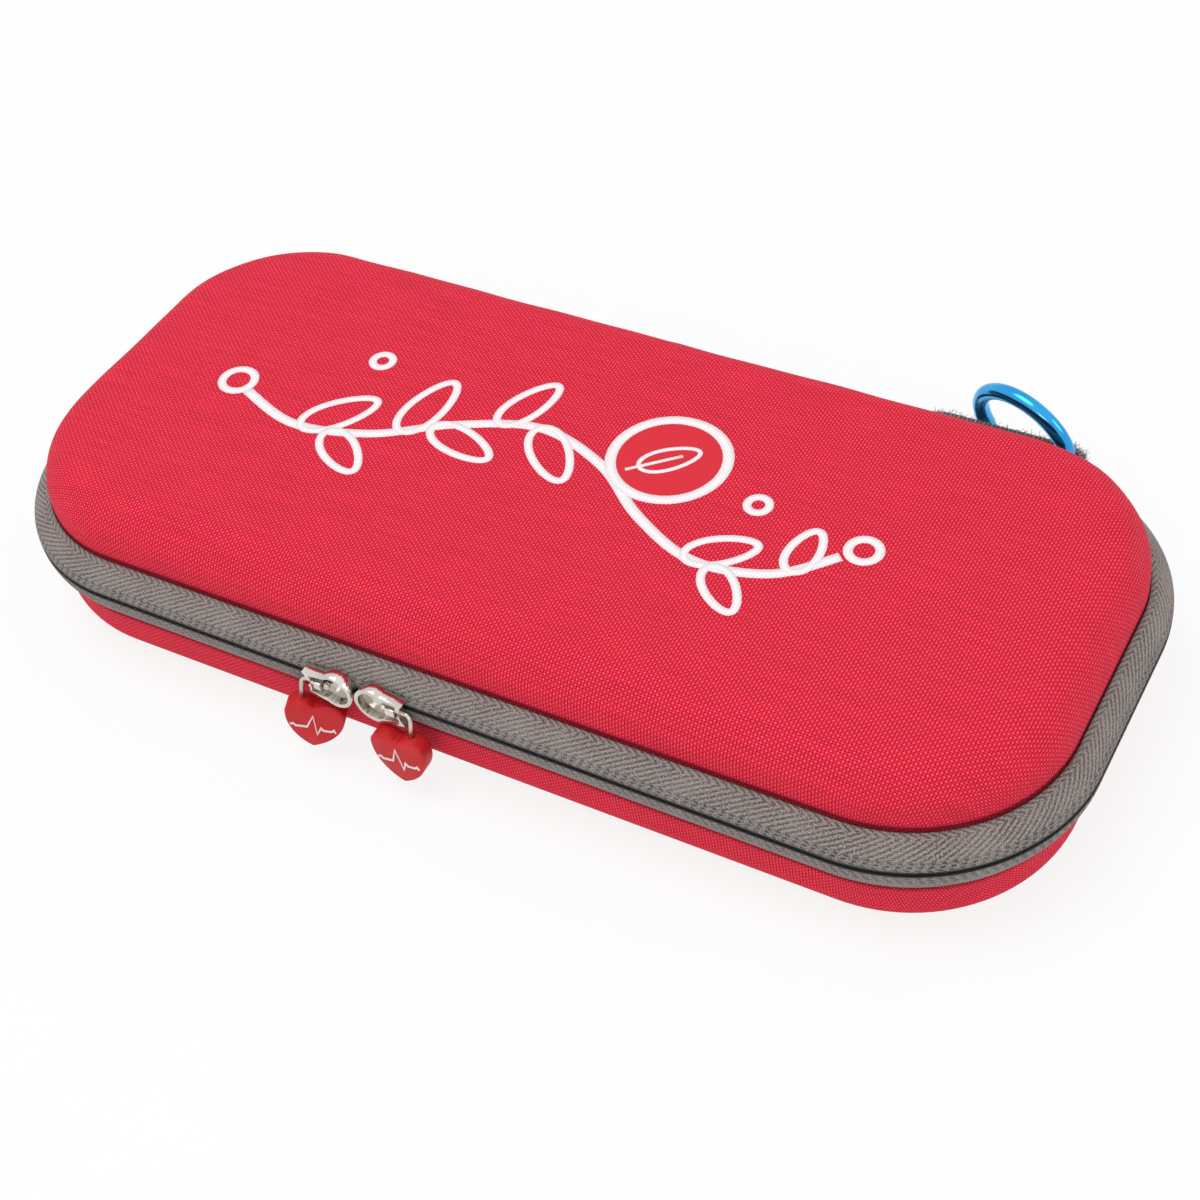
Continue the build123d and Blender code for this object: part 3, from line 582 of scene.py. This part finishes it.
coil = {"pitch": 1.27, "inset": 1.9, "height": 1.42, "reachIn": 0.85, "reachUp": 0.8, "wire": 0.3,
        "cord": 0.4, "cordInset": 1.15, "cordHeight": 0.43}
dense = casePath(0.25, gap=128.5)
for name, side, body in (("upper", 1, "lid"), ("lower", -1, "base")):
    total = dense[2][-1]
    turns = int(total / coil["pitch"])
    turn = np.linspace(0, turns * 2 * math.pi, turns * 10)
    place = turn / (2 * math.pi) * coil["pitch"]
    base = np.stack([np.interp(place, dense[2], dense[0][:, k]) for k in (0, 1)], -1)
    out = np.stack([np.interp(place, dense[2], dense[1][:, k]) for k in (0, 1)], -1)
    out /= np.linalg.norm(out, axis=1)[:, None]
    inset = coil["inset"] + coil["reachIn"] * np.cos(turn)
    height = side * (coil["height"] + coil["reachUp"] * np.sin(turn))
    line = np.concatenate([base - out * inset[:, None], (height + case["zip"])[:, None]], -1)
    radial = np.concatenate([-out * np.cos(turn)[:, None], (side * np.sin(turn))[:, None]], -1)
    points, uv, grid = tubeGrid(line, coil["wire"], 5, radial)
    path = casePath(2.0, gap=128.5)
    cord = np.concatenate([path[0] - path[1] * coil["cordInset"], np.full((len(path[0]), 1), side * coil["cordHeight"] + case["zip"])], -1)
    outward = np.concatenate([path[1], np.zeros((len(path[1]), 1))], -1)
    points, faces, maps = joinGrids([(points, uv, grid), tubeGrid(cord, coil["cord"], 6, outward)])
    buildMesh(name + "ZipCoil", points, faces, maps, coilBlack, body, [name + "_zip_coil"])
print("coils made")


# ---- cast and drawn pieces, from the CAD shapes

def fromNode(name, node, body, material, bevel=0.0, segments=2):
    """A CAD shape with its points joined, smooth over its curves, and a fine round on its edges."""
    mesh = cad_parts[node].data.copy()
    mesh.name = name
    shape = bmesh.new()
    shape.from_mesh(mesh)
    bmesh.ops.remove_doubles(shape, verts=shape.verts, dist=0.002 * mm)
    bmesh.ops.dissolve_degenerate(shape, edges=shape.edges, dist=0.001 * mm)
    shape.to_mesh(mesh)
    shape.free()
    mesh.materials.clear()
    mesh.materials.append(material)
    mesh.polygons.foreach_set("use_smooth", np.ones(len(mesh.polygons), bool))
    piece = bpy.data.objects.new(name, mesh)
    bpy.context.scene.collection.objects.link(piece)
    if bevel:
        edge = piece.modifiers.new("edge", "BEVEL")
        edge.width = bevel * mm
        edge.segments = segments
        edge.limit_method = "ANGLE"
        edge.angle_limit = math.radians(35)
        edge.harden_normals = True
    else:
        mesh.set_sharp_from_angle(angle=math.radians(35))
    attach(piece, body)
    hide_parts(node)
    return piece


sliders = {"left": {"x": -27.15, "side": 1, "yaw": 21.0, "roll": 12.0}, "right": {"x": -13.05, "side": -1, "yaw": -2.0, "roll": 2.0}}
for name in sliders:
    fromNode(name + "Slider", name + "_slider", name + "_slider_body", nickel, 0.14)
    fromNode(name + "PullWire", name + "_pull_wire", name + "_pull", steel)
    fromNode(name + "HeartPull", name + "_heart_pull", name + "_pull", pvcRed, 0.35, 3)
fromNode("snapHook", "snap_hook", "hook_body", anodised, 0.1)
fromNode("hookGate", "hook_gate", "gate_body", anodised, 0.1)
fromNode("gatePin", "gate_pin", "hook_body", steel, 0.1)
fromNode("upperZipStops", "upper_zip_stops", "lid", nickel, 0.15)
fromNode("lowerZipStops", "lower_zip_stops", "base", nickel, 0.15)
for node in ("lid_shell", "base_shell"):
    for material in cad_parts[node].material_slots:
        material.material = foamBlack
print("cast pieces made")


# ---- strokes: the hearts' pulse lines and the lid's print

def strokeGrid(line, width, low, high, closed=False):
    """A flat band of that width along a line of (x, y) points, as a closed tube between two heights."""
    line = np.asarray(line, float)
    if closed:
        ahead, behind = np.roll(line, -1, 0) - line, line - np.roll(line, 1, 0)
    else:
        ahead = np.concatenate([np.diff(line, axis=0), line[-1:] - line[-2:-1]])
        behind = np.concatenate([line[1:2] - line[:1], np.diff(line, axis=0)])
    ahead /= np.linalg.norm(ahead, axis=1)[:, None]
    behind /= np.linalg.norm(behind, axis=1)[:, None]
    mean = ahead + behind
    mean /= np.linalg.norm(mean, axis=1)[:, None]
    reach = 1 / np.maximum(np.sum(mean * ahead, axis=1), 0.5)
    side = np.stack([-mean[:, 1], mean[:, 0]], -1) * reach[:, None] * np.reshape(width, (-1, 1)) / 2
    rings = [(side, high), (-side, high), (-side, low), (side, low)]
    points = np.stack([np.concatenate([line + s, np.full((len(line), 1), h)], -1) for s, h in rings], 1)
    uv = np.concatenate([points[:, :, :2], points[:, :1, :2]], 1)
    if closed:
        uv = np.concatenate([uv, uv[:1]])
    return points, uv, {"wrapU": closed, "wrapV": True, "caps": not closed, "flip": False}


def smoothLine(knots, steps=8, closed=False):
    """A smooth line through knots, each span a cubic whose ends run parallel to the neighbours' chord."""
    knots = np.asarray(knots, float)
    count = len(knots)
    at = (lambda k: knots[k % count]) if closed else (lambda k: knots[min(max(k, 0), count - 1)])
    line = []
    for k in range(count if closed else count - 1):
        t = (np.arange(steps) / steps)[:, None]
        a, b = at(k), at(k + 1)
        goA, goB = (at(k + 1) - at(k - 1)) / 2, (at(k + 2) - at(k)) / 2
        line.append((2 * t ** 3 - 3 * t ** 2 + 1) * a + (t ** 3 - 2 * t ** 2 + t) * goA
                    + (3 * t ** 2 - 2 * t ** 3) * b + (t ** 3 - t ** 2) * goB)
    if not closed:
        line.append(knots[-1:])
    return np.concatenate(line)


pulse = {
    "line": [(-5.7, -7.6), (-4.9, -7.3), (-4.3, -7.9), (-1.6, -7.7), (-0.3, -3.6), (0.9, -9.9), (1.7, -7.4), (2.4, -8.2),
             (4.3, -8.1), (4.8, -7.5), (5.3, -8.4)],
    "width": 0.5, "low": 2.0, "high": 2.5, "hang": (-8.0, -68.077, 19.7), "lobe": 3.4,
}
for name, slider in sliders.items():
    flat, uv, grid = strokeGrid(pulse["line"], pulse["width"], pulse["low"], pulse["high"])
    local = np.stack([flat[..., 0] * slider["side"] + pulse["lobe"], -flat[..., 2], flat[..., 1]], -1).reshape(-1, 3)
    roll, yaw = math.radians(slider["roll"]), math.radians(slider["yaw"])
    rolled = np.array(Matrix.Rotation(yaw, 3, "Z") @ Matrix.Rotation(roll, 3, "Y"))
    placed = (local @ rolled.T + np.array(pulse["hang"])) * [slider["side"], 1, 1] + [slider["x"], 0, 0]
    piece = gridPiece(name + "PulseLine", placed.reshape(flat.shape), uv, pvcWhite, name + "_pull", **grid)
    edge = piece.modifiers.new("edge", "BEVEL")
    edge.width = 0.12 * mm
    edge.segments = 2
    edge.limit_method = "ANGLE"


def leafLine(root, angle, length, width):
    """A leaf: half a cosine of its length out and back, and a sine of its width, fuller at the root."""
    turn = np.arange(36) / 36 * 2 * math.pi
    outline = np.stack([(1 - np.cos(turn)) * length / 2, -np.sin(turn) * (1 + 0.18 * np.cos(turn)) * width / 2], -1)
    angle = math.radians(angle)
    rotation = np.array([[math.cos(angle), -math.sin(angle)], [math.sin(angle), math.cos(angle)]])
    return outline @ rotation.T + np.array(root)


def ringLine(centre, radius, count=40):
    turn = np.arange(count) / count * 2 * math.pi
    return np.stack([np.cos(turn), np.sin(turn)], -1) * radius + np.array(centre)


# The print: one leafy stem along the lid, ringed buds at its ends, and a round red berry with a leaf in it.
sprig = {
    "stem": [(-88, -6), (-70, -12), (-50, -8), (-32, 3), (-12, 10), (8, 4), (24, -8), (42, -16), (60, -13), (72, -2)],
    "leaves": [(0.12, 1, 20, 9), (0.16, -1, 17, 8), (0.26, 1, 21, 9), (0.31, -1, 19, 8), (0.40, 1, 19, 8),
               (0.45, -1, 20, 9), (0.78, 1, 17, 8), (0.83, -1, 15, 7), (0.93, 1, 14, 7)],
    "width": 2.7, "leafWidth": 2.0, "lift": 0.07, "sink": 0.12,
    "berry": (22, 12), "berrySize": 14.0,
}
top = case["zip"] + case["rise"]
stem = smoothLine(sprig["stem"])
stemLength = runLength(stem)
heights = (top - sprig["sink"], top + sprig["lift"])
strokes = [strokeGrid(stem, sprig["width"], *heights)]
for number, (share, side, length, width) in enumerate(sprig["leaves"]):
    k = int(np.searchsorted(stemLength, share * stemLength[-1]))
    heading = math.degrees(math.atan2(*(stem[k + 1] - stem[k - 1])[::-1]))
    outline = leafLine(stem[k], heading + side * 48, length, width)
    strokes.append(strokeGrid(outline, sprig["leafWidth"], heights[0], heights[1] + 0.004 + 0.004 * number, closed=True))
for centre, radius, width in (((-92.5, -3.5), 4.2, 2.2), ((76, 1.8), 3.6, 2.2), ((-62, 17), 2.6, 2.0), ((48, 6), 2.6, 2.0),
                              (sprig["berry"], sprig["berrySize"], 2.7)):
    strokes.append(strokeGrid(ringLine(centre, radius), width, heights[0], heights[1] + 0.044, closed=True))
inner = leafLine((sprig["berry"][0] - 5.5, sprig["berry"][1] - 5.0), 42, 15, 7)
strokes.append(strokeGrid(inner, 1.1, heights[0], heights[1] + 0.048, closed=True))
vein = [(sprig["berry"][0] - 8, sprig["berry"][1] - 7.2), (sprig["berry"][0] + 2.5, sprig["berry"][1] + 2.2)]
strokes.append(strokeGrid(vein, 0.9, heights[0], heights[1] + 0.052))
for stroke in strokes:
    stroke[2]["flip"] = True
points, faces, maps = joinGrids(strokes)
buildMesh("whitePrint", points, faces, maps, inkWhite, "lid")
disc = np.stack([np.concatenate([ringLine(sprig["berry"], sprig["berrySize"] * k / 6, 48), np.full((48, 1), heights[1] - 0.02)], -1)
                 for k in range(1, 7)] + [np.concatenate([ringLine(sprig["berry"], sprig["berrySize"], 48),
                                                          np.full((48, 1), heights[0])], -1)], 0)
uv = np.concatenate([disc[..., :2], disc[:, :1, :2]], 1)
gridPiece("redPrint", disc, uv, inkRed, "lid", wrapV=True, caps=True)
print("print made")


# ---- webbing loop with its frayed edge

loop = {"left": 66.0, "right": 97.0, "near": 64.8, "far": 77.9, "thick": 1.3, "bottom": 14.0, "top": 23.6,
        "lean": math.radians(15), "footLeft": 68.0, "footRight": 93.0, "overlap": 6.0}
turnRadius = (loop["far"] - loop["near"] - loop["thick"]) / 2
middleY = (loop["far"] + loop["near"]) / 2
angles = np.radians(np.linspace(-90, 90, 13))
nearX = (loop["footLeft"] + loop["overlap"], loop["footRight"] - loop["overlap"])
strand = [np.stack([np.linspace(nearX[1], loop["right"], 6), np.full(6, middleY - turnRadius)], -1),
          np.stack([loop["right"] + turnRadius * np.cos(angles), middleY + turnRadius * np.sin(angles)], -1)[1:],
          np.stack([np.linspace(loop["right"], loop["left"], 24), np.full(24, middleY + turnRadius)], -1)[1:],
          np.stack([loop["left"] - turnRadius * np.cos(angles), middleY - turnRadius * np.sin(angles)], -1)[1:],
          np.stack([np.linspace(loop["left"], nearX[0], 6), np.full(6, middleY - turnRadius)], -1)[1:]]
strand = np.concatenate(strand)
go = np.gradient(strand, axis=0)
go /= np.linalg.norm(go, axis=1)[:, None]
outSide = np.stack([go[:, 1], -go[:, 0]], -1)
half = loop["thick"] / 2
levels = np.linspace(loop["bottom"] + half * 0.6, loop["top"] - half * 0.6, 14)
edgeTurn = np.radians(np.linspace(0, 180, 7))[1:-1]
ring = [(half, z) for z in levels]
ring += [(half * math.cos(a), levels[-1] + 0.4 * half * math.sin(a) * 1.5) for a in edgeTurn]
ring += [(-half, z) for z in levels[::-1]]
ring += [(-half * math.cos(a), levels[0] - 0.4 * half * math.sin(a) * 1.5) for a in edgeTurn]
ring = np.array(ring)
flat = strand[:, None, :] + outSide[:, None, :] * ring[None, :, :1]
height = np.broadcast_to(ring[None, :, 1:], (*flat.shape[:2], 1))
flat[..., 1] += math.tan(loop["lean"]) * (case["zip"] - height[..., 0])
band = np.concatenate([flat, height], -1)
bandUv = unwrapped(runLength(strand), np.concatenate([ring[:, 1], ring[:1, 1]]))
footArc = rollArc(tapeLook["lower"]["crease"], -1, 0.0, 30)
footArc = footArc[(footArc[:, 1] < -0.9) & (footArc[:, 1] > -7.4)]
footBack = rollArc(tapeLook["lower"]["crease"], -1, -1.3, 30)
footBack = footBack[(footBack[:, 1] < -0.9) & (footBack[:, 1] > -7.4)]
footSection = np.concatenate([footBack, footArc[::-1]])
footX = np.linspace(loop["footRight"], loop["footLeft"], 20)
footPath = [np.stack([footX, np.full(20, case["halfWidth"])], -1), np.tile([0.0, 1.0], (20, 1))]
foot = carried(footPath, footSection)
footUv = unwrapped(footX, np.concatenate([runLength(footSection), [0.0]]))
points, faces, maps = joinGrids([
    (band, bandUv, {"wrapV": True, "caps": True, "flip": False}),
    (foot, footUv, {"wrapV": True, "caps": True, "flip": True}),
])
hangLoop = buildMesh("hangLoop", points, faces, maps, webbingGrey, "base", ["hang_loop"])
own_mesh(hangLoop)

# Loose yarn ends: short bent fibres standing out of the webbing's top edge and of its right turn.
random = np.random.default_rng(7)
fibres = []
along = runLength(strand)
fray = {"count": 620, "length": (0.4, 1.3), "radius": 0.06}
for _ in range(fray["count"]):
    place = random.choice([random.uniform(11, 32), random.uniform(along[-1] * 0.1, along[-1] * 0.9)])
    root = np.array([np.interp(place, along, strand[:, k]) for k in (0, 1)])
    away = np.array([np.interp(place, along, outSide[:, k]) for k in (0, 1)])
    level = loop["top"] - abs(random.normal(0, 0.5)) if random.random() < 0.6 else random.uniform(loop["bottom"], loop["top"])
    start = np.array([*(root + away * half), level])
    start[1] += math.tan(loop["lean"]) * (case["zip"] - level)
    aim = np.array([*away, random.uniform(-0.3, 1.2)]) + random.normal(0, 0.5, 3)
    aim /= np.linalg.norm(aim)
    curl = random.normal(0, 0.4, 3)
    t = np.linspace(0, 1, 5)[:, None]
    line = start - aim * 0.2 + random.uniform(*fray["length"]) * (t * aim + t ** 2 * curl)
    fibres.append(tubeGrid(line, fray["radius"], 3, np.tile(np.cross(aim, [0.3, 0.5, 0.8]), (5, 1))))
points, faces, maps = joinGrids(fibres)
yarnEnds = buildMesh("loopYarnEnds", points, faces, maps, frayGrey, "base")
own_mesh(yarnEnds)
print("loop made")


# ---- inside: net pocket, its elastic hem, and the straps

def slab(name, low, high, round_, material, body, nodes, axis, wave=(0.0, 1.0)):
    """A flat band between two corners, its long edges rounded, running along x or y, with a slow wave."""
    low, high = np.array(low), np.array(high)
    other = 1 - axis
    steps = np.linspace(low[axis], high[axis], max(2, int((high[axis] - low[axis]) / 1.2)))
    halfAcross, halfUp = (high[other] - low[other]) / 2, (high[2] - low[2]) / 2
    turn = np.radians([20, 45, 70])
    quarter = np.stack([halfAcross - round_ + round_ * np.cos(turn), halfUp - round_ + round_ * np.sin(turn)], -1)
    flat = np.stack([np.linspace(halfAcross - round_, -halfAcross + round_, 9), np.full(9, halfUp)], -1)
    upper = np.concatenate([quarter, flat, quarter[::-1] * [-1, 1]])
    section = np.concatenate([upper, upper * -1])
    middle = (low + high) / 2
    points = np.zeros((len(steps), len(section), 3))
    points[..., axis] = steps[:, None]
    points[..., other] = middle[other] + section[None, :, 0]
    lift = wave[0] * np.sin(steps / wave[1] * 2 * math.pi)[:, None]
    points[..., 2] = middle[2] + section[None, :, 1] + lift
    uv = unwrapped(steps, np.concatenate([runLength(section), [0.0]]))
    return gridPiece(name, points, uv, material, body, nodes, wrapV=True, caps=True, flip=axis == 1)


pocket = {"inset": 11.05, "front": -10.6, "hem": -18.6, "height": 28.4, "thick": 0.6, "mesh": 3.2, "cord": 0.24}
halfX, halfY = case["halfLength"] - pocket["inset"], case["halfWidth"] - pocket["inset"]
bendRadius = case["radius"] - pocket["inset"]
level = pocket["height"] + pocket["thick"] / 2
cords = []
for lean in (1, -1):
    for offset in np.arange(-halfX - halfY, halfX + halfY, pocket["mesh"] * math.sqrt(2) * 0.5):
        y = np.linspace(pocket["front"] - 2, halfY, 400)
        x = offset + lean * y
        overX = np.maximum(np.abs(x) - (halfX - bendRadius), 0)
        overY = np.maximum(y - (halfY - bendRadius), 0)
        inside = np.hypot(overX, overY) < bendRadius
        if inside.sum() < 8:
            continue
        ends = np.flatnonzero(inside)[[0, -1]]
        share = np.linspace(0, 1, 3)
        line = np.stack([np.interp(share, [0, 1], x[ends]), np.interp(share, [0, 1], y[ends]),
                         np.full(3, level + lean * 0.05)], -1)
        cords.append(tubeGrid(line, pocket["cord"], 5, np.tile([0.0, 0.0, 1.0], (3, 1))))
points, faces, maps = joinGrids(cords)
buildMesh("netPocket", points, faces, maps, netBlack, "lid", ["mesh_pocket"])
hemLow, hemHigh = level - 0.7, level + 0.7
slab("pocketElastic", (-halfX, pocket["hem"], hemLow), (halfX, pocket["front"], hemHigh), 0.5, elasticBlack, "lid",
     ["pocket_elastic"], 0)
for name, x in (("left", -62.0), ("right", 62.0)):
    slab(name + "ElasticStrap", (x - 10, -31.6, 5.0), (x + 10, 31.6, 6.2), 0.45, elasticBlack, "base",
         [name + "_elastic_strap"], 1)
print("inside made")


# ---- floor, light and camera

floorMesh = bpy.data.meshes.new("paleFloor")
floorMesh.from_pydata([(-9, -9, 0), (9, -9, 0), (9, 9, 0), (-9, 9, 0)], [], [(0, 1, 2, 3)])
paleFloor = bpy.data.objects.new("paleFloor", floorMesh)
bpy.context.scene.collection.objects.link(paleFloor)


def seenRay(tree, share, rest):
    """That share where a ray from the camera, a reflection or a clear surface arrives, and the rest elsewhere."""
    rays = addNode(tree, "ShaderNodeLightPath").outputs
    seen = calc(tree, "MAXIMUM", calc(tree, "MAXIMUM", rays["Is Camera Ray"], rays["Is Glossy Ray"]),
                rays["Is Transmission Ray"])
    return calc(tree, "MULTIPLY_ADD", seen, share - rest, rest)


# The paper's own white fills most of what the camera sees of it, and all of it far off, and its lit face
# keeps the shadow near the case.
floorMaterial, tree = newMaterial("palePaper")
place = addNode(tree, "ShaderNodeTexCoord").outputs["Object"]
tone = addNode(tree, "ShaderNodeTexNoise", {"Vector": place, "Scale": 40.0}).outputs[0]
paper = addNode(tree, "ShaderNodeBsdfDiffuse", {0: mix(tree, tone, hexLinear("#F2F2F2"), hexLinear("#FAFAFA"))}).outputs[0]
white = addNode(tree, "ShaderNodeEmission", {0: (1, 1, 1, 1), 1: 1.0}).outputs[0]
distance = addNode(tree, "ShaderNodeVectorMath", {0: place}, operation="LENGTH").outputs["Value"]
share = calc(tree, "MULTIPLY_ADD", ramp(tree, distance, 0.5, 2.0), 0.15, 0.85)
seen = calc(tree, "MULTIPLY", seenRay(tree, 1.0, 0.0), share)
shader = addNode(tree, "ShaderNodeMixShader", {0: seen, 1: paper, 2: white}).outputs[0]
addNode(tree, "ShaderNodeOutputMaterial", {0: shader})
floorMesh.materials.append(floorMaterial)


def softLight(name, place, aim, size, power):
    light = bpy.data.lights.new(name, "AREA")
    light.shape = "DISK"
    light.size = size
    light.energy = power
    lamp = bpy.data.objects.new(name, light)
    lamp.location = place
    lamp.rotation_euler = (Vector(aim) - Vector(place)).to_track_quat("-Z", "Y").to_euler()
    bpy.context.scene.collection.objects.link(lamp)


softLight("overheadBox", (-0.3, -0.2, 1.7), (0, 0, 0), 1.1, 13.2)
softLight("frontBox", (0.6, -1.7, 0.9), (0, 0, 0.02), 0.9, 4.8)
softLight("rightBox", (1.7, 0.4, 0.8), (0, 0, 0.02), 0.8, 3.4)

world = bpy.data.worlds.new("whiteRoom")
bpy.context.scene.world = world
world.use_nodes = True
tree = world.node_tree
tree.nodes.clear()
background = addNode(tree, "ShaderNodeBackground", {0: (1, 1, 1, 1), 1: seenRay(tree, 1.0, 0.56)})
addNode(tree, "ShaderNodeOutputWorld", {0: background.outputs[0]})

forward = Vector((-0.393224, 0.582756, -0.711176)).normalized()
right = forward.cross(Vector((0, 0, 1))).normalized()
up = right.cross(forward)
roll = math.radians(-7.56)
across, upright = right * math.cos(roll) + up * math.sin(roll), up * math.cos(roll) - right * math.sin(roll)
camera = bpy.data.objects.new("camera", bpy.data.cameras.new("camera"))
camera.data.lens = 62.37
camera.data.clip_start = 0.02
camera.matrix_world = Matrix.Translation((0.209273, -0.302178, 0.373109)) @ Matrix((across, upright, -forward)).transposed().to_4x4()
bpy.context.scene.collection.objects.link(camera)
bpy.context.scene.camera = camera
bpy.context.scene.view_settings.view_transform = "Standard"

print("scene made")
